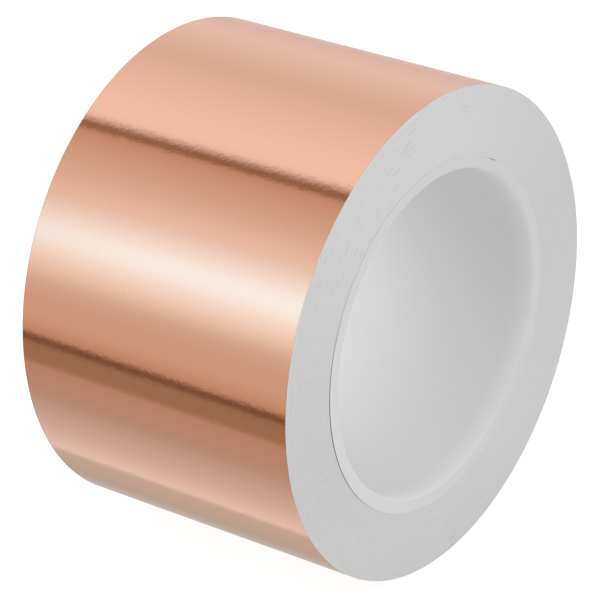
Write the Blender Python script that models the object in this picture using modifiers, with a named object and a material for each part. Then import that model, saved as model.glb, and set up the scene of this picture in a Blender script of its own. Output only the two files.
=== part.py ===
"""Roll of copper foil tape, lying on its tread with its axis along X.

Two pieces: a moulded plastic core ring, and the tape wound on it in one continuous strip of foil, adhesive
and release liner. Metres, +Z up. The origin is on the floor, below the middle of the roll.
"""

import math

import bmesh
import bpy
from mathutils import Matrix

# The tape: its slit width, and foil, adhesive and liner together
TAPE_WIDTH = 0.050
TAPE_THICKNESS = 0.000115

# The core ring
BORE_RADIUS = 0.0261
CORE_WALL = 0.0023
CORE_LENGTH = TAPE_WIDTH
LIP_ROUNDING = 0.00055
OUTER_EDGE_ROUNDING = 0.00025

# The winding: how deep it is over the core, and how its turns show on its ends
SEAT_GAP = 0.0003
WOUND_DEPTH = 0.01055
SHOWN_TURNS = 14
TURN_GROOVE_DEPTH = 0.00012

# Sides of each round form. The free end of the tape lies so many facets past the lowest line of the roll:
# up the back, and half a facet on, so that the roll rests on a facet and not on an edge.
FACETS = 64
FREE_END_FACETS = 19.5
LIP_STEPS = 4

CORE_RADIUS = BORE_RADIUS + CORE_WALL
WINDING_BORE = CORE_RADIUS + SEAT_GAP
ROLL_RADIUS = WINDING_BORE + WOUND_DEPTH
TURN_PITCH = WOUND_DEPTH / SHOWN_TURNS
FREE_END_ANGLE = FREE_END_FACETS * math.tau / FACETS
WELD_DISTANCE = 1e-7

# sRGB colours, with metallic and roughness
WHITE_PLASTIC = ((0.86, 0.86, 0.86), 0.0, 0.45)
COPPER_FOIL = ((0.86, 0.62, 0.49), 1.0, 0.25)


def clear_scene():
    for thing in list(bpy.data.objects):
        bpy.data.objects.remove(thing, do_unlink=True)


def new_collection(name):
    collection = bpy.data.collections.new(name)
    bpy.context.scene.collection.children.link(collection)
    return collection


def linear(channel):
    """One sRGB channel as linear light."""
    return channel / 12.92 if channel <= 0.04045 else ((channel + 0.055) / 1.055) ** 2.4


def new_material(name, look):
    colour, metallic, roughness = look
    material = bpy.data.materials.new(name)
    material.use_nodes = True
    shader = material.node_tree.nodes["Principled BSDF"]
    shader.inputs["Base Color"].default_value = (*map(linear, colour), 1.0)
    shader.inputs["Metallic"].default_value = metallic
    shader.inputs["Roughness"].default_value = roughness
    return material


def new_object(name, mesh, collection, material):
    thing = bpy.data.objects.new(name, mesh)
    thing.data.materials.append(material)
    collection.objects.link(thing)
    return thing


def shade_round(mesh):
    mesh.shade_smooth()
    mesh.set_sharp_from_angle(angle=math.radians(25))


def corner_arc(radius, height, rounding, start_angle, steps):
    """Points (radius, height) of a quarter turn, clockwise, round a centre given by its radius and height."""
    for step in range(steps + 1):
        angle = start_angle - step / steps * math.pi / 2
        yield radius + rounding * math.cos(angle), height + rounding * math.sin(angle)


def core_outline():
    """The ring's section, down its outer side and up its bore, with the bore's two lips rounded."""
    top = CORE_LENGTH / 2
    outer = CORE_RADIUS - OUTER_EDGE_ROUNDING
    inner = BORE_RADIUS + LIP_ROUNDING
    edge_height = top - OUTER_EDGE_ROUNDING
    lip_height = top - LIP_ROUNDING
    yield from corner_arc(outer, edge_height, OUTER_EDGE_ROUNDING, math.pi / 2, 1)
    yield from corner_arc(outer, -edge_height, OUTER_EDGE_ROUNDING, 0, 1)
    yield from corner_arc(inner, -lip_height, LIP_ROUNDING, -math.pi / 2, LIP_STEPS)
    yield from corner_arc(inner, lip_height, LIP_ROUNDING, math.pi, LIP_STEPS)


def section_loop(points):
    """A bmesh with a closed loop of edges through these (radius, height) points, in the XZ plane."""
    section = bmesh.new()
    corners = [section.verts.new((radius, 0, height)) for radius, height in points]
    for corner, following in zip(corners, corners[1:] + corners[:1]):
        section.edges.new((corner, following))
    return section


def make_core(collection):
    mesh = bpy.data.meshes.new("core")
    section = section_loop(core_outline())
    section.to_mesh(mesh)
    section.free()
    core = new_object("core", mesh, collection, new_material("white_moulded_plastic", WHITE_PLASTIC))
    turn = core.modifiers.new("turned_ring", "SCREW")
    turn.axis = "Z"
    turn.angle = math.tau
    turn.steps = turn.render_steps = FACETS
    turn.use_merge_vertices = True
    turn.merge_threshold = 0.00001
    turn.use_smooth_shade = True
    return core


def turn_lines():
    """Distances from the winding's bore to the lines of its turns, in pitches, before the strip creeps outwards.

    A turn is a flat edge of the strip with half of a groove at each side. One turn more than the depth holds
    starts inside the bore, because the spiral brings it out as it goes round.
    """
    half_groove = TAPE_THICKNESS / TURN_PITCH
    for turn in range(-1, SHOWN_TURNS):
        yield turn, True
        yield turn + half_groove, False
        yield turn + 1 - half_groove, False
    yield SHOWN_TURNS, True


def radius_of(line, turned):
    """A line's radius after this share of a turn, between the bore and the last turn of real tape."""
    last = ROLL_RADIUS - TAPE_THICKNESS * (1 - turned)
    return min(max(WINDING_BORE + TURN_PITCH * (line + turned), WINDING_BORE), last)


def groove_depth(radius, turned):
    """Full in the winding, and running out where a groove comes to the bore or to the last turn."""
    last = ROLL_RADIUS - TAPE_THICKNESS * (1 - turned)
    to_edge = min(radius - WINDING_BORE, last - radius)
    return TURN_GROOVE_DEPTH * min(1, to_edge / TAPE_THICKNESS)


def spun_winding():
    """The winding's section spun once round, open at the seam. Returns it with what finds a point's line."""
    ends = [(line, grooved, 1) for line, grooved in turn_lines()]
    ends += [(line, grooved, -1) for line, grooved, _ in reversed(ends)]
    start = WINDING_BORE + 2 * TURN_PITCH
    winding = section_loop((start + TURN_PITCH * line, side * TAPE_WIDTH / 2) for line, _, side in ends)
    row = winding.verts.layers.int.new("row")
    for number, corner in enumerate(winding.verts):
        corner[row] = number
    spun = bmesh.ops.spin(
        winding,
        geom=winding.verts[:] + winding.edges[:],
        axis=(0, 0, 1),
        cent=(0, 0, 0),
        angle=math.tau,
        steps=FACETS,
    )
    seam = {thing for thing in spun["geom_last"] if isinstance(thing, bmesh.types.BMVert)}
    return winding, row, ends, seam


def creep(winding, row, ends, seam):
    """Moves each line out by one pitch in a full turn, so that the rings become one spiral strip."""
    for corner in winding.verts:
        angle = math.atan2(corner.co.y, corner.co.x) % math.tau
        column = FACETS if corner in seam else round(angle / math.tau * FACETS) % FACETS
        turned = column / FACETS
        line, grooved, side = ends[corner[row]]
        radius = radius_of(line, turned)
        depth = groove_depth(radius, turned) if grooved else 0
        bearing = turned * math.tau
        corner.co = (
            radius * math.cos(bearing),
            radius * math.sin(bearing),
            side * (TAPE_WIDTH / 2 - depth),
        )


def make_winding(collection):
    winding, row, ends, seam = spun_winding()
    creep(winding, row, ends, seam)
    bmesh.ops.remove_doubles(winding, verts=winding.verts[:], dist=WELD_DISTANCE)
    bmesh.ops.dissolve_degenerate(winding, edges=winding.edges[:], dist=WELD_DISTANCE)
    cut_end = [edge for edge in winding.edges if edge.is_boundary]
    bmesh.ops.holes_fill(winding, edges=cut_end, sides=len(cut_end))
    bmesh.ops.recalc_face_normals(winding, faces=winding.faces[:])
    bmesh.ops.rotate(winding, verts=winding.verts[:], matrix=Matrix.Rotation(FREE_END_ANGLE, 3, "Z"))
    mesh = bpy.data.meshes.new("wound_tape")
    winding.to_mesh(mesh)
    winding.free()
    shade_round(mesh)
    return new_object("wound_tape", mesh, collection, new_material("copper_foil", COPPER_FOIL))


def lay_on_tread(pieces, lowest):
    """Turns the roll's axis from Z to X and lifts it until its tread meets the floor."""
    for piece in pieces:
        piece.rotation_euler = (0, math.pi / 2, 0)
        piece.location = (0, 0, lowest)


def main():
    clear_scene()
    collection = new_collection("foil_tape_roll")
    core = make_core(collection)
    winding = make_winding(collection)
    lowest = max(corner.co.x for corner in winding.data.vertices)
    lay_on_tread((core, winding), lowest)


main()
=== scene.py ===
import math

import bmesh
import bpy
from mathutils import Matrix, Vector, noise


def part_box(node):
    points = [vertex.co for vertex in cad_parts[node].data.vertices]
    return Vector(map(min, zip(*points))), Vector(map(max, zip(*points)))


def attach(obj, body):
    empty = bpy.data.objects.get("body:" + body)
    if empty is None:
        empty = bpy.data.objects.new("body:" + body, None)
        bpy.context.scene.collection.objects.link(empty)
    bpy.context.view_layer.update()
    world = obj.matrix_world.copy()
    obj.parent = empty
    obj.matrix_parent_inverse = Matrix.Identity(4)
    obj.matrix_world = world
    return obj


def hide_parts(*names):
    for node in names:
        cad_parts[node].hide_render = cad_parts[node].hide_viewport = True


# A roll of copper foil tape lying on its tread, its axis along X. The looks are three pieces: the
# moulded core ring, the wound strip with the slit edges of its release liner on both ends, and
# the outermost turn of foil. Sizes are in metres.
#
# Bearings go round the roll in two ways, in degrees. A room bearing counts from straight up
# towards the camera's side. A strip bearing counts from the lowest line up the back.

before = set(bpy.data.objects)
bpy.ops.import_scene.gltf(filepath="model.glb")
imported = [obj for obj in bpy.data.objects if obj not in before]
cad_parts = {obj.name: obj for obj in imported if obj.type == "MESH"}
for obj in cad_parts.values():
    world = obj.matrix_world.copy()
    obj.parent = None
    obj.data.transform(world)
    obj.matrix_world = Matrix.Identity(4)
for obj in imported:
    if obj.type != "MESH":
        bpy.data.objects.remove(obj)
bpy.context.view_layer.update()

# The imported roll
CORE_LOW, CORE_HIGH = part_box("core")
WOUND_LOW, WOUND_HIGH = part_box("wound_tape")
AXIS_HEIGHT = (CORE_LOW.z + CORE_HIGH.z) / 2
HALF_WIDTH = (WOUND_HIGH.x - WOUND_LOW.x) / 2
CORE_RADIUS = (CORE_HIGH.z - CORE_LOW.z) / 2

# The core ring
BORE_RADIUS = 0.0261
LIP_ROUNDING = 0.00045
LIP_STEPS = 10
CORE_EDGE_ROUNDING = 0.00001
# Painted light: the bore is painted paler from this far inside its mouths, up to this share of it
# past them
PALE_REACH, PALEST = 0.0045, 0.3
# The ends' own tone takes over between these shares of the lip's rounding; inside that the rounding
# keeps the bore's painted light, which lifts its shading
END_SHADE_FROM, END_SHADE_TO = 0.15, 0.7
# The ends carry painted light, palest at this room bearing
PAINTED_LIGHT_BEARING = 136
# The ring's outer side dips in, most at this strip bearing, and is round again so many degrees
# before and after it
DIP_BEARING, DIP_BEFORE, DIP_AFTER, DIP_DEPTH = 150, 60, 62, 0.00045

# The strip: cold-rolled foil, acrylic adhesive and release liner, slit in one cut
FOIL_THICKNESS = 0.000035
STRIP_THICKNESS = 0.000115
# Its free end is at this strip bearing
FREE_END_BEARING = math.radians(109.7)
# Where it rests on the floor, the last turn has this share of its climb of one thickness to go
CLIMB_LEFT_ON_FLOOR = 0.3
ROLL_RADIUS = AXIS_HEIGHT + STRIP_THICKNESS * CLIMB_LEFT_ON_FLOOR
# The knife drags adhesive and liner past the foil's edge on its burr side, the near end: a pale
# lip this wide there and a finer one at the far end, with a crevice between lip and foil. The
# lips wander by a share of their width, over a length along the rim.
NEAR_LIP, FAR_LIP = 0.00013, 0.00005
LIP_WANDER, LIP_WANDER_LENGTH = 0.4, 0.006
CREVICE = 0.00005

# The winding sits tight on the core, but for its hollows: wide and narrow where it is slack, and
# a wedge where the first turn climbs over the strip's start. Each has its first, deepest and last
# strip bearing, and its depth.
TIGHT_SEAT = 0.000001
HOLLOWS = (
    (-180, -95, -10, 0.00003),
    (-137, -80, -21, 0.00012),
    (148.3, 149.7, 155.5, 0.00009),
)

# Sides of the round forms, the angle up to which they shade smooth, and the weld between points
CORE_FACETS = 256
WOUND_FACETS = 224
FOIL_FACETS = 512
SMOOTH_ANGLE = 35
WELD_DISTANCE = 1e-7

# The camera looks at a point close to the middle of the roll, from the side and a little above
CAMERA_AZIMUTH = 36.47
CAMERA_ELEVATION = 24.66
CAMERA_DISTANCE = 0.5368
CAMERA_LENS = 205.8
CAMERA_SENSOR = 36
AIM_LEFT = 0.001166
AIM_BELOW = 0.000868


def to_linear(hex_colour, strength=1.0):
    """sRGB hex to the linear values that Blender's sockets take."""
    channels = (int(hex_colour[at:at + 2], 16) / 255 for at in (1, 3, 5))
    scaled = [c / 12.92 if c <= 0.04045 else ((c + 0.055) / 1.055) ** 2.4 for c in channels]
    return (*(strength * c for c in scaled), 1.0)


def add_node(material, kind, links=None, **settings):
    """Adds a node. Settings name its properties, and inputs its sockets by name or index; links
    feed sockets from other nodes."""
    tree = material.node_tree
    node = tree.nodes.new(kind)
    inputs = settings.pop("inputs", {})
    for name, value in settings.items():
        setattr(node, name, value)
    for name, value in inputs.items():
        node.inputs[name].default_value = value
    for name, source in (links or {}).items():
        tree.links.new(source, node.inputs[name])
    return node


def new_material(name):
    material = bpy.data.materials.new(name)
    material.use_nodes = True
    return material, material.node_tree.nodes["Principled BSDF"]


def new_object(name, form, materials):
    """A mesh object of this form, at the origin and in the scene."""
    mesh = bpy.data.meshes.new(name)
    form.to_mesh(mesh)
    form.free()
    for material in materials:
        mesh.materials.append(material)
    thing = bpy.data.objects.new(name, mesh)
    bpy.context.scene.collection.objects.link(thing)
    return thing


def finished(name, form, materials, smooth=True):
    """A piece of this form, riding on the roll."""
    piece = new_object(name, form, materials)
    if smooth:
        piece.data.shade_smooth()
        piece.data.set_sharp_from_angle(angle=math.radians(SMOOTH_ANGLE))
    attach(piece, "root")
    return piece


def place(form):
    """Turns a form made round Z so that its axis lies along X, and lifts it to the roll's axis."""
    bmesh.ops.rotate(form, verts=form.verts[:], matrix=Matrix.Rotation(math.pi / 2, 3, "Y"))
    bmesh.ops.translate(form, verts=form.verts[:], vec=(0, 0, AXIS_HEIGHT))


def section_loop(points):
    """A closed loop of edges through (radius, height) points, in the XZ plane."""
    form = bmesh.new()
    corners = [form.verts.new((radius, 0, height)) for radius, height in points]
    for corner, following in zip(corners, corners[1:] + corners[:1]):
        form.edges.new((corner, following))
    return form


def corner_arc(radius, height, rounding, start, steps):
    """Points (radius, height) of a quarter turn, clockwise, round a centre at radius and height."""
    for step in range(steps + 1):
        angle = start - step / steps * math.pi / 2
        yield radius + rounding * math.cos(angle), height + rounding * math.sin(angle)


def swell(share):
    """A smooth hump: 1 at a share of 0, falling to 0 at 1 and past it."""
    return math.cos(min(share, 1.0) * math.pi / 2) ** 2


def bearing_way(bearing):
    """The way from the roll's axis at this room bearing."""
    return (0.0, -math.sin(math.radians(bearing)), math.cos(math.radians(bearing)))


# The core: a moulded ring with rounded lips

def core_plastic():
    """White high-impact polystyrene, injection moulded: satin, with a faint moulded skin that
    softens its gloss. Its colour carries painted light: paler in the bore's mouths and on one side
    of the ends."""
    material, shader = new_material("polystyrene_moulded_white")
    place_at = add_node(material, "ShaderNodeTexCoord")
    # Dimples about 1 mm across, with finer ones between them
    skin = add_node(
        material, "ShaderNodeTexNoise", {"Vector": place_at.outputs["Object"]},
        inputs={"Scale": 900.0, "Detail": 2.0, "Roughness": 0.5},
    )
    bump = add_node(
        material, "ShaderNodeBump", {"Height": skin.outputs["Fac"]},
        inputs={"Strength": 0.25, "Distance": 0.00002},
    )
    # Painted light: in the bore it is paler near the mouths
    along = add_node(material, "ShaderNodeSeparateXYZ", {"Vector": place_at.outputs["Object"]})
    from_middle = add_node(
        material, "ShaderNodeMath", {0: along.outputs["X"]}, operation="ABSOLUTE",
    )
    painted_mouth_light = add_node(
        material, "ShaderNodeMapRange", {"Value": from_middle.outputs[0]},
        interpolation_type="SMOOTHSTEP",
        inputs={"From Min": HALF_WIDTH - PALE_REACH, "From Max": HALF_WIDTH + PALE_REACH * PALEST},
    )
    bore_tone_with_painted_light = add_node(
        material, "ShaderNodeMix", {0: painted_mouth_light.outputs[0]},
        data_type="RGBA", inputs={6: to_linear("#DEDEDF"), 7: to_linear("#EFEFF0")},
    )
    # Painted light: on the ends it is paler towards one side
    outwards = add_node(
        material, "ShaderNodeMapping", {"Vector": place_at.outputs["Object"]},
        inputs={"Location": (0.0, 0.0, -AXIS_HEIGHT), "Scale": (0.0, 1.0, 1.0)},
    )
    to_painted_light = add_node(
        material, "ShaderNodeVectorMath", {0: outwards.outputs["Vector"]},
        operation="DOT_PRODUCT", inputs={1: bearing_way(PAINTED_LIGHT_BEARING)},
    )
    painted_light_side = add_node(
        material, "ShaderNodeMapRange", {"Value": to_painted_light.outputs["Value"]},
        inputs={"From Min": -CORE_RADIUS, "From Max": CORE_RADIUS},
    )
    end_tone_with_painted_light = add_node(
        material, "ShaderNodeMix", {0: painted_light_side.outputs[0]},
        data_type="RGBA", inputs={6: to_linear("#DADADB"), 7: to_linear("#E4E4E5")},
    )
    # Out from the bore, the lip's rounding keeps the bore's painted light before the ends' own tone
    # takes over
    radius = add_node(
        material, "ShaderNodeVectorMath", {0: outwards.outputs["Vector"]}, operation="LENGTH",
    )
    on_end = add_node(
        material, "ShaderNodeMapRange", {"Value": radius.outputs["Value"]},
        inputs={
            "From Min": BORE_RADIUS + LIP_ROUNDING * END_SHADE_FROM,
            "From Max": BORE_RADIUS + LIP_ROUNDING * END_SHADE_TO,
        },
    )
    shade = add_node(
        material, "ShaderNodeMix",
        {0: on_end.outputs[0], 6: bore_tone_with_painted_light.outputs[2], 7: end_tone_with_painted_light.outputs[2]},
        data_type="RGBA",
    )
    material.node_tree.links.new(shade.outputs[2], shader.inputs["Base Color"])
    shader.inputs["Roughness"].default_value = 0.6
    shader.inputs["IOR"].default_value = 1.55
    shader.inputs["Specular IOR Level"].default_value = 0.3
    material.node_tree.links.new(bump.outputs["Normal"], shader.inputs["Normal"])
    return material


def core_section():
    """Down the outer side and up the bore, between its two rounded lips."""
    outer, edge = CORE_RADIUS - CORE_EDGE_ROUNDING, HALF_WIDTH - CORE_EDGE_ROUNDING
    inner, lip = BORE_RADIUS + LIP_ROUNDING, HALF_WIDTH - LIP_ROUNDING
    yield from corner_arc(outer, edge, CORE_EDGE_ROUNDING, math.pi / 2, 1)
    yield from corner_arc(outer, -edge, CORE_EDGE_ROUNDING, 0, 1)
    yield from corner_arc(inner, -lip, LIP_ROUNDING, -math.pi / 2, LIP_STEPS)
    yield from corner_arc(inner, lip, LIP_ROUNDING, math.pi, LIP_STEPS)


def core_dip(bearing):
    """How far the ring's outer side dips in at this strip bearing: moulded rings shrink out of
    round."""
    aside = (bearing - DIP_BEARING + 180) % 360 - 180
    return DIP_DEPTH * swell(abs(aside) / (DIP_AFTER if aside > 0 else DIP_BEFORE))


def painted_gap_shade():
    """A thin, smoky dark film on the core's outer side: painted shade that darkens the gap between
    core and winding."""
    material, shader = new_material("painted_gap_shade_film")
    place_at = add_node(material, "ShaderNodeTexCoord")
    # Blotches about 2 mm across
    blotches = add_node(
        material, "ShaderNodeTexNoise", {"Vector": place_at.outputs["Object"]},
        inputs={"Scale": 500.0, "Detail": 2.0},
    )
    shade = add_node(
        material, "ShaderNodeMix", {0: blotches.outputs["Fac"]},
        data_type="RGBA", inputs={6: to_linear("#67625C"), 7: to_linear("#857F78")},
    )
    material.node_tree.links.new(shade.outputs[2], shader.inputs["Base Color"])
    shader.inputs["Roughness"].default_value = 0.5
    return material


def make_core():
    form = section_loop(core_section())
    bmesh.ops.spin(
        form, geom=form.verts[:] + form.edges[:], axis=(0, 0, 1), cent=(0, 0, 0),
        angle=math.tau, steps=CORE_FACETS, use_merge=True,
    )
    bmesh.ops.recalc_face_normals(form, faces=form.faces[:])
    # The painted gap shade lies on the outer side, which is out of round
    for face in form.faces:
        if face.calc_center_median().xy.length > CORE_RADIUS - CORE_EDGE_ROUNDING:
            face.material_index = 1
    for corner in form.verts:
        radius = corner.co.xy.length
        if radius > CORE_RADIUS - 2 * CORE_EDGE_ROUNDING:
            bearing = math.degrees(math.atan2(corner.co.y, corner.co.x))
            corner.co.xy = corner.co.xy * ((radius - core_dip(bearing)) / radius)
    place(form)
    core = finished("core_ring", form, [core_plastic(), painted_gap_shade()])
    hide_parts("core")


# The strip's spiral: both the winding and its outermost turn of foil are spun from one section

WOUND_BORE = CORE_RADIUS + TIGHT_SEAT
TURNS = int((ROLL_RADIUS - CORE_RADIUS) / STRIP_THICKNESS)
TURN_PITCH = (ROLL_RADIUS - WOUND_BORE) / TURNS
# Turns more than the depth holds: one because the spiral creeps, the others in the core's dip
DIP_TURNS = 1 + math.ceil(DIP_DEPTH / TURN_PITCH)
# A slit edge keeps this share of the pitch clear at each side, which slopes to the next edge
TURN_EDGE = 0.14
# The slit edges stand back from the ends, and wander out and in: how far, how fast from turn to
# turn, and over which length along the strip
STAND_BACK = 0.000016
EDGE_WANDER = ((14e-6, 0.13, 0.030), (6e-6, 0.61, 0.008), (4e-6, 7.3, 0.0035))
# Steps through the noise that keep the two ends apart, and the row of it that the lips follow
EDGE_NOISE_STEP, LIP_NOISE_STEP, LIP_NOISE_ROW = 7.0, 5.0, 0.5
# The paper has most nicks at the first of these room bearings, and a painted sheen that is palest
# at the second and opposite it. The shares say how much that side and the fibres count.
NICK_BEARING, PAINTED_SHEEN_BEARING = 100, 20
NICK_SIDE_SHARE, FIBRE_SHARE = 0.2, 0.25
NICK_PATCH_SHIFT = (0.0, 0.031, 0.004)


def spun_spiral(section, facets, place_of):
    """Spins a section a full turn, open at its seam, and puts each corner at place_of(its row,
    share of a turn). Its UV map, in metres, runs along the strip and outwards."""
    form = section_loop(section)
    row = form.verts.layers.int.new("row")
    column = form.verts.layers.int.new("column")
    for number, corner in enumerate(form.verts):
        corner[row] = number
    spun = bmesh.ops.spin(
        form, geom=form.verts[:] + form.edges[:], axis=(0, 0, 1), cent=(0, 0, 0),
        angle=math.tau, steps=facets,
    )
    last_column = {thing for thing in spun["geom_last"] if isinstance(thing, bmesh.types.BMVert)}
    for corner in form.verts:
        share = math.atan2(corner.co.y, corner.co.x) % math.tau / math.tau
        corner[column] = facets if corner in last_column else round(share * facets) % facets
        turned = corner[column] / facets
        radius, height = place_of(corner[row], turned)
        angle = turned * math.tau
        corner.co = (radius * math.cos(angle), radius * math.sin(angle), height)
    bmesh.ops.remove_doubles(form, verts=form.verts[:], dist=WELD_DISTANCE)
    open_edges = [edge for edge in form.edges if edge.is_boundary]
    bmesh.ops.holes_fill(form, edges=open_edges, sides=len(open_edges))
    bmesh.ops.recalc_face_normals(form, faces=form.faces[:])
    strip = form.loops.layers.uv.new("strip")
    for face in form.faces:
        for loop in face.loops:
            radius = loop.vert.co.xy.length
            along = loop.vert[column] / facets * math.tau * radius
            loop[strip].uv = (along, radius + loop.vert.co.z)
    to_free_end = Matrix.Rotation(FREE_END_BEARING, 3, "Z")
    bmesh.ops.rotate(form, verts=form.verts[:], matrix=to_free_end)
    place(form)
    return form


def liner_paper():
    """Slit edges of glassine release liner, packed turn on turn: matt and chalky white, nearly
    smooth, with short dark nicks of the slitting knife that follow the turns, in patches, and a
    painted sheen of the turn edges, lighter towards two opposite bearings."""
    material, shader = new_material("glassine_liner_slit_edges")
    strip = add_node(material, "ShaderNodeUVMap", uv_map="strip")
    place_at = add_node(material, "ShaderNodeTexCoord")
    outwards = add_node(
        material, "ShaderNodeMapping", {"Vector": place_at.outputs["Object"]},
        inputs={"Location": (0.0, 0.0, -AXIS_HEIGHT), "Scale": (0.0, 1.0, 1.0)},
    )
    way = add_node(
        material, "ShaderNodeVectorMath", {0: outwards.outputs["Vector"]}, operation="NORMALIZE",
    )
    # Nicks about 1.2 mm long and 0.1 mm across
    drawn_out = add_node(
        material, "ShaderNodeMapping", {"Vector": strip.outputs["UV"]},
        inputs={"Scale": (330.0, 5200.0, 1.0)},
    )
    nicks = add_node(
        material, "ShaderNodeTexNoise", {"Vector": drawn_out.outputs["Vector"]},
        noise_dimensions="2D", inputs={"Scale": 1.0, "Detail": 0.0},
    )
    # They lie in patches about 12 mm across, most on one side
    moved = add_node(
        material, "ShaderNodeMapping", {"Vector": place_at.outputs["Object"]},
        inputs={"Location": NICK_PATCH_SHIFT},
    )
    patches = add_node(
        material, "ShaderNodeTexNoise", {"Vector": moved.outputs["Vector"]},
        inputs={"Scale": 80.0, "Detail": 0.0},
    )
    nick_side = add_node(
        material, "ShaderNodeVectorMath", {0: way.outputs["Vector"]}, operation="DOT_PRODUCT",
        inputs={1: bearing_way(NICK_BEARING)},
    )
    likely = add_node(
        material, "ShaderNodeMath", {0: nick_side.outputs["Value"], 2: patches.outputs["Fac"]},
        operation="MULTIPLY_ADD", inputs={1: NICK_SIDE_SHARE},
    )
    in_patch = add_node(
        material, "ShaderNodeMapRange", {"Value": likely.outputs[0]},
        inputs={"From Min": 0.42, "From Max": 0.7, "To Min": 0.0, "To Max": 0.12},
    )
    raised = add_node(
        material, "ShaderNodeMath", {0: nicks.outputs["Fac"], 1: in_patch.outputs[0]},
        operation="ADD",
    )
    nicked = add_node(
        material, "ShaderNodeMapRange", {"Value": raised.outputs[0]},
        inputs={"From Min": 0.8, "From Max": 0.95},
    )
    # Paper fibres and dust, about 0.4 mm
    fibres = add_node(
        material, "ShaderNodeTexNoise", {"Vector": place_at.outputs["Object"]},
        inputs={"Scale": 2400.0, "Detail": 2.0, "Roughness": 0.6},
    )
    # Painted sheen of the turn edges: lighter towards one room bearing and opposite it, darker at
    # right angles to that line
    along_painted_sheen = add_node(
        material, "ShaderNodeVectorMath", {0: way.outputs["Vector"]}, operation="DOT_PRODUCT",
        inputs={1: bearing_way(PAINTED_SHEEN_BEARING)},
    )
    painted_sheen = add_node(
        material, "ShaderNodeMath",
        {0: along_painted_sheen.outputs["Value"], 1: along_painted_sheen.outputs["Value"]}, operation="MULTIPLY",
    )
    fibres_and_painted_sheen = add_node(
        material, "ShaderNodeMath", {0: fibres.outputs["Fac"], 2: painted_sheen.outputs[0]},
        operation="MULTIPLY_ADD", inputs={1: FIBRE_SHARE},
    )
    paper = add_node(
        material, "ShaderNodeMix", {0: fibres_and_painted_sheen.outputs[0]},
        data_type="RGBA", inputs={6: to_linear("#D4D4D4"), 7: to_linear("#DDDDDD")},
    )
    shade = add_node(
        material, "ShaderNodeMix", {0: nicked.outputs[0], 6: paper.outputs[2]},
        data_type="RGBA", inputs={7: to_linear("#CDCDCD")},
    )
    bump = add_node(
        material, "ShaderNodeBump", {"Height": fibres.outputs["Fac"]},
        inputs={"Strength": 0.15, "Distance": 0.00001},
    )
    material.node_tree.links.new(shade.outputs[2], shader.inputs["Base Color"])
    shader.inputs["Roughness"].default_value = 0.8
    shader.inputs["Specular IOR Level"].default_value = 0.25
    material.node_tree.links.new(bump.outputs["Normal"], shader.inputs["Normal"])
    return material


def stand_out(turn, turned, side):
    """How far a turn's slit edge stands out: steady noise, so every run is the same."""
    along = (turn + turned) * math.tau * CORE_RADIUS
    return sum(
        size * noise.noise(Vector((turn * per_turn, along / length, side * EDGE_NOISE_STEP)))
        for size, per_turn, length in EDGE_WANDER
    )


def seat_radius(turned):
    """The winding's bore at this share of a turn: tight on the core, but for its hollows."""
    bearing = math.degrees(FREE_END_BEARING + turned * math.tau)
    radius = CORE_RADIUS + TIGHT_SEAT - core_dip(bearing)
    for first, deepest, last, depth in HOLLOWS:
        aside = (bearing - deepest + 180) % 360 - 180
        radius += depth * swell(aside / ((last if aside > 0 else first) - deepest))
    return radius


def lip_width(turned, side):
    """How far the pale lip reaches in from the end, wandering along the rim."""
    along = turned * math.tau * ROLL_RADIUS / LIP_WANDER_LENGTH
    wander = LIP_WANDER * noise.noise(Vector((along, side * LIP_NOISE_STEP, LIP_NOISE_ROW)))
    return (NEAR_LIP if side > 0 else FAR_LIP) * (1 + wander)


def end_lines():
    """(turn, distance in pitches) of each line on an end, out from the bore: both corners of
    every slit edge."""
    for turn in range(-DIP_TURNS, TURNS):
        yield turn, turn + TURN_EDGE
        yield turn, turn + 1 - TURN_EDGE


def make_winding():
    # Past the slit edges come the pale lip's rim and the step down to the tread under the foil
    rim, tread = "rim", "tread"
    bore_side = (None, -DIP_TURNS - 1.0)
    rim_side = ((None, TURNS + 1.0), (rim, TURNS + 2.0), (tread, TURNS + 3.0))
    lines = [bore_side, *end_lines(), *rim_side]
    rows = [(turn, line, 1) for turn, line in lines]
    rows += [(turn, line, -1) for turn, line in reversed(lines)]

    def place_of(row, turned):
        turn, line, side = rows[row]
        creep = STRIP_THICKNESS * (1 - turned)
        if turn in (rim, tread):
            outer = ROLL_RADIUS if turn == rim else ROLL_RADIUS - FOIL_THICKNESS
            return outer - creep, side * (HALF_WIDTH - lip_width(turned, side))
        free = WOUND_BORE + TURN_PITCH * (line + turned)
        radius = min(max(free, seat_radius(turned)), ROLL_RADIUS - creep)
        slit_edge = turn is not None and radius == free
        sideways = stand_out(turn, turned, side) if slit_edge else 0
        return radius, side * (HALF_WIDTH - STAND_BACK + sideways)

    # The section is spun a little further out than it ends up, clear of the axis
    clear_of_axis = WOUND_BORE + 2 * DIP_TURNS * TURN_PITCH
    section = [(clear_of_axis + TURN_PITCH * line, side * HALF_WIDTH) for _, line, side in rows]
    form = spun_spiral(section, WOUND_FACETS, place_of)
    winding = finished("wound_strip", form, [liner_paper()], smooth=False)
    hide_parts("wound_tape")


# The outermost turn of foil

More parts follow.
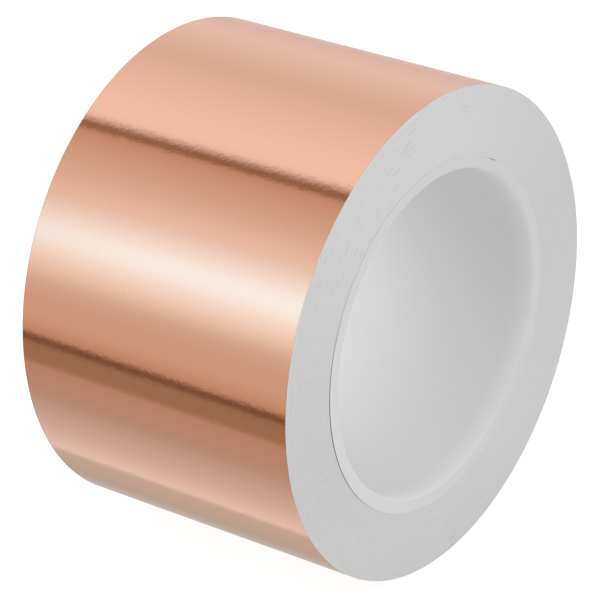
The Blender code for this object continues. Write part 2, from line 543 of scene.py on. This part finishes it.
def copper_foil():
    """Cold-rolled copper foil, bright: mirror-like, with the faint unevenness of the turns below,
    and a haze of fine lines in the rolling direction."""
    material, shader = new_material("copper_foil_cold_rolled")
    strip = add_node(material, "ShaderNodeUVMap", uv_map="strip")
    # Unevenness 1.2 mm from crest to crest along the axis and a little longer round the roll
    spread = add_node(
        material, "ShaderNodeMapping", {"Vector": strip.outputs["UV"]},
        inputs={"Scale": (1300.0, 1650.0, 1.0)},
    )
    unevenness = add_node(
        material, "ShaderNodeTexNoise", {"Vector": spread.outputs["Vector"]},
        noise_dimensions="2D", inputs={"Scale": 1.0, "Detail": 1.0, "Roughness": 0.5},
    )
    bump = add_node(
        material, "ShaderNodeBump", {"Height": unevenness.outputs["Fac"]},
        inputs={"Strength": 1.0, "Distance": 0.0000048},
    )
    # Rolling lines 0.2 mm apart and centimetres long
    drawn_out = add_node(
        material, "ShaderNodeMapping", {"Vector": strip.outputs["UV"]},
        inputs={"Scale": (25.0, 5000.0, 1.0)},
    )
    rolling_lines = add_node(
        material, "ShaderNodeTexNoise", {"Vector": drawn_out.outputs["Vector"]},
        noise_dimensions="2D", inputs={"Scale": 1.0, "Detail": 2.0, "Roughness": 0.5},
    )
    haze = add_node(
        material, "ShaderNodeMapRange", {"Value": rolling_lines.outputs["Fac"]},
        inputs={"To Min": 0.08, "To Max": 0.13},
    )
    shader.inputs["Base Color"].default_value = to_linear("#F7C4AA")
    shader.inputs["Metallic"].default_value = 1.0
    material.node_tree.links.new(haze.outputs[0], shader.inputs["Roughness"])
    material.node_tree.links.new(bump.outputs["Normal"], shader.inputs["Normal"])
    return material


def make_foil():
    """The last turn's foil, from where it comes out from under the free end round to that end."""
    inner = ROLL_RADIUS - FOIL_THICKNESS
    section = [
        (ROLL_RADIUS, HALF_WIDTH), (ROLL_RADIUS, -HALF_WIDTH),
        (inner, -HALF_WIDTH), (inner, HALF_WIDTH),
    ]

    def place_of(row, turned):
        radius, height = section[row]
        side = math.copysign(1, height)
        set_back = lip_width(turned, side) + CREVICE
        return radius - STRIP_THICKNESS * (1 - turned), height - side * set_back

    foil = finished("outer_foil", spun_spiral(section, FOIL_FACETS, place_of), [copper_foil()])


# The stage: floor, lights, the light tent that only gloss shows, and the camera

TENT_RADIUS = 1.5
TENT_HALF_LENGTH = 4.0
TENT_END_LIGHT = to_linear("#E0E0E0")
TENT_END_SIDES = 96
CLOTH_STEPS = 24
# What the cloths and the rest of the studio give off: sRGB, and how bright
REAR, REAR_TOP, REAR_FOOT = ("#DFCCC7", 1.0), ("#ECE8E7", 1.0), ("#C9CAC8", 1.0)
ROOF_BACK, ROOF, RAIL = ("#E1D9D6", 1.0), ("#F6F2F1", 1.04), ("#8A6A4D", 1.0)
CREAM, CREAM_FOOT, DAYLIGHT = ("#C9AF9C", 1.0), ("#DACEC0", 1.0), ("#F1F2F3", 1.02)
SOFTBOX, SOFTBOX_FOOT, SPILL = ("#C2E8FF", 1.87), ("#EFF8FF", 1.12), ("#DBD4CD", 1.0)
LINEN, TURNED_UNDER, GAP = ("#D3C4B4", 1.0), ("#C8AC96", 1.0), ("#705841", 1.0)
TABLE_EDGE, TABLE = ("#A18C73", 1.0), ("#BFA797", 1.0)
SHEET, SHEET_MIDDLE, SHEET_EDGE = ("#BDAFA5", 1.0), ("#CFD1D1", 1.0), ("#F0EEF1", 1.0)
FLOOR, FLOOR_REAR = ("#CACCC9", 1.0), ("#BDB9B0", 1.0)
# Between these places along the tent the softbox wanes and turns warmer towards its left end
WANED_FROM, FULL_FROM = -1.18, -1.04
WANING = (DAYLIGHT, SOFTBOX, SOFTBOX_FOOT)
WANED_SHARE = to_linear("#F9F0E9")
# The cloths round the roll between their room bearings, each with the light at its first and at
# its second edge. They hang from brown rails, and one softbox shines through in front.
TENT = (
    # The cloth behind the roll
    (-120, -92, REAR, REAR),
    (-92, -70, REAR, REAR_TOP),
    # The roof, down to the front rail
    (-70, -38, REAR_TOP, ROOF_BACK),
    (-38, 0, ROOF_BACK, ROOF),
    (0, 8.5, ROOF, ROOF),
    (8.5, 12.8, ROOF, RAIL),
    (12.8, 16, RAIL, RAIL),
    # The front cloth, and the softbox behind it
    (16, 32, CREAM, CREAM_FOOT),
    (32, 50, CREAM_FOOT, DAYLIGHT),
    (50, 65, DAYLIGHT, SOFTBOX),
    (65, 70, SOFTBOX, SOFTBOX),
    (70, 81, SOFTBOX, SOFTBOX_FOOT),
    (81, 90.5, SOFTBOX_FOOT, SPILL),
    # The cloth on the table, first in the softbox's light, then turned under
    (90.5, 98, SPILL, LINEN),
    (98, 107, LINEN, LINEN),
    (107, 116.3, LINEN, TURNED_UNDER),
    # The dark gap below it, the table's edge and its top
    (116.3, 120.4, GAP, GAP),
    (120.4, 131, TABLE_EDGE, TABLE_EDGE),
    (131, 146, TABLE, SHEET),
    # The sheet that the roll lies on
    (146, 164, SHEET, SHEET_MIDDLE),
    (164, 185.5, SHEET_MIDDLE, SHEET_EDGE),
    # The floor behind the sheet, up to the foot of the rear cloth
    (185.5, 206, FLOOR, FLOOR_REAR),
    (206, 240, FLOOR_REAR, REAR_FOOT),
)

FLOOR_REACH = 4
# The camera sees a darker floor, lifted to white by this much light, so that its shadow is faint
FLOOR_LIFT = 0.88
# Even light from all round, and what the camera sees behind the floor
WORLD_FILL, WORLD_SEEN = 0.45, 1.0
# Softboxes that light matt surfaces only: name, side, power, azimuth and elevation, distance
LAMPS = (
    ("bore_softbox", 0.4, 1.87, -45, 25, 0.6),
    ("far_end_softbox", 0.5, 0.95, -90, 40, 0.6),
    ("near_end_softbox", 0.5, 0.42, 90, 20, 0.7),
    ("near_end_high_softbox", 0.5, 0.65, 90, 65, 0.6),
    ("back_softbox", 0.5, 0.8, 130, 30, 0.7),
)


def tent_glow():
    """Light given off by the tent's cloths, as their own attribute says."""
    material = bpy.data.materials.new("tent_glow")
    material.use_nodes = True
    material.node_tree.nodes.clear()
    glow = add_node(material, "ShaderNodeAttribute", attribute_name="glow")
    light = add_node(material, "ShaderNodeEmission", {"Color": glow.outputs["Color"]})
    add_node(material, "ShaderNodeOutputMaterial", {"Surface": light.outputs[0]})
    material.cycles.emission_sampling = "NONE"
    return material


def cloth_light(light, along):
    """The linear light of a cloth at this place along the tent."""
    full = Vector(to_linear(*light))
    return full * Vector(WANED_SHARE) if along < FULL_FROM and light in WANING else full


def hang_cloth(form, glow, start, end, first_light, second_light):
    """Spins one cloth of the tent round the roll's axis and sets its light."""
    at_start = Matrix.Rotation(math.radians(start), 3, "X") @ Vector((0, 0, TENT_RADIUS))
    places = (-TENT_HALF_LENGTH, WANED_FROM, FULL_FROM, TENT_HALF_LENGTH)
    corners = [form.verts.new((along, at_start.y, at_start.z)) for along in places]
    edges = [form.edges.new(pair) for pair in zip(corners, corners[1:])]
    others = len(form.faces)
    bmesh.ops.spin(
        form, geom=[*corners, *edges], axis=(1, 0, 0), cent=(0, 0, 0),
        angle=math.radians(end - start), steps=CLOTH_STEPS,
    )
    form.faces.ensure_lookup_table()
    for face in form.faces[others:]:
        for loop in face.loops:
            bearing = math.degrees(math.atan2(-loop.vert.co.y, loop.vert.co.z))
            from_middle = (bearing - (start + end) / 2 + 180) % 360 - 180
            share = from_middle / (end - start) + 0.5
            # A corner's place comes back in single precision
            along = round(loop.vert.co.x, 4)
            first, second = cloth_light(first_light, along), cloth_light(second_light, along)
            loop[glow] = first.lerp(second, share)


def make_tent():
    form = bmesh.new()
    glow = form.loops.layers.float_color.new("glow")
    for cloth in TENT:
        hang_cloth(form, glow, *cloth)
    cloths = len(form.faces)
    upright = Matrix.Rotation(math.pi / 2, 4, "Y")
    for side in (-1, 1):
        at_end = Matrix.Translation((side * TENT_HALF_LENGTH, 0, 0)) @ upright
        bmesh.ops.create_circle(
            form, cap_ends=True, segments=TENT_END_SIDES, radius=TENT_RADIUS, matrix=at_end,
        )
    form.faces.ensure_lookup_table()
    for face in form.faces[cloths:]:
        for loop in face.loops:
            loop[glow] = TENT_END_LIGHT
    bmesh.ops.translate(form, verts=form.verts[:], vec=(0, 0, AXIS_HEIGHT))
    tent = new_object("light_tent", form, [tent_glow()])
    for ray in ("camera", "diffuse", "transmission", "volume_scatter", "shadow"):
        setattr(tent, "visible_" + ray, False)


def floor_paint():
    """Matt white paint, which the camera sees as pure white with a faint shadow."""
    material, shader = new_material("floor_white")
    ray = add_node(material, "ShaderNodeLightPath")
    seen = add_node(
        material, "ShaderNodeMix", {0: ray.outputs["Is Camera Ray"]},
        data_type="RGBA", inputs={6: to_linear("#FAFAFA"), 7: to_linear("#8C8C8C")},
    )
    lift = add_node(
        material, "ShaderNodeMath", {0: ray.outputs["Is Camera Ray"]},
        operation="MULTIPLY", inputs={1: FLOOR_LIFT},
    )
    shader.inputs["Roughness"].default_value = 0.9
    shader.inputs["Emission Color"].default_value = to_linear("#FFFFFF")
    material.node_tree.links.new(seen.outputs[2], shader.inputs["Base Color"])
    material.node_tree.links.new(lift.outputs[0], shader.inputs["Emission Strength"])
    return material


def make_floor():
    form = bmesh.new()
    bmesh.ops.create_grid(form, x_segments=1, y_segments=1, size=FLOOR_REACH)
    floor = new_object("floor", form, [floor_paint()])
    floor.visible_glossy = False


def make_world():
    """Even light from all round, and a white background where a ray from the camera meets it.
    Gloss shows the tent in its place."""
    world = bpy.data.worlds.new("studio")
    bpy.context.scene.world = world
    world.use_nodes = True
    background = world.node_tree.nodes["Background"]
    ray = add_node(world, "ShaderNodeLightPath")
    strength = add_node(
        world, "ShaderNodeMapRange", {"Value": ray.outputs["Is Camera Ray"]},
        inputs={"To Min": WORLD_FILL, "To Max": WORLD_SEEN},
    )
    background.inputs["Color"].default_value = (1.0, 1.0, 1.0, 1.0)
    world.node_tree.links.new(strength.outputs[0], background.inputs["Strength"])
    world.cycles_visibility.glossy = False


def direction(azimuth, elevation):
    """From the roll towards a viewer: azimuth turns from the front towards +X."""
    turn, rise = math.radians(azimuth), math.radians(elevation)
    across = math.cos(rise)
    return Vector((math.sin(turn) * across, -math.cos(turn) * across, math.sin(rise)))


def make_lamp(name, size, power, azimuth, elevation, distance):
    """A square softbox aimed at the middle of the roll."""
    lamp = bpy.data.lights.new(name, "AREA")
    lamp.shape = "SQUARE"
    lamp.size = size
    lamp.energy = power
    towards = direction(azimuth, elevation)
    softbox = bpy.data.objects.new(name, lamp)
    softbox.location = Vector((0, 0, AXIS_HEIGHT)) + towards * distance
    softbox.rotation_euler = towards.to_track_quat("Z", "Y").to_euler()
    softbox.visible_glossy = False
    softbox.visible_camera = False
    bpy.context.scene.collection.objects.link(softbox)


def make_camera():
    lens = bpy.data.cameras.new("camera")
    lens.lens = CAMERA_LENS
    lens.sensor_width = CAMERA_SENSOR
    camera = bpy.data.objects.new("camera", lens)
    back = direction(CAMERA_AZIMUTH, CAMERA_ELEVATION)
    right = Vector((0, 0, 1)).cross(back).normalized()
    up = back.cross(right)
    aim = Vector((0, 0, AXIS_HEIGHT)) - right * AIM_LEFT - up * AIM_BELOW
    camera.location = aim + back * CAMERA_DISTANCE
    camera.rotation_euler = back.to_track_quat("Z", "Y").to_euler()
    bpy.context.scene.collection.objects.link(camera)
    bpy.context.scene.camera = camera


make_core()
make_winding()
make_foil()
make_tent()
make_floor()
make_world()
for lamp_numbers in LAMPS:
    make_lamp(*lamp_numbers)
make_camera()
bpy.context.scene.view_settings.view_transform = "Standard"
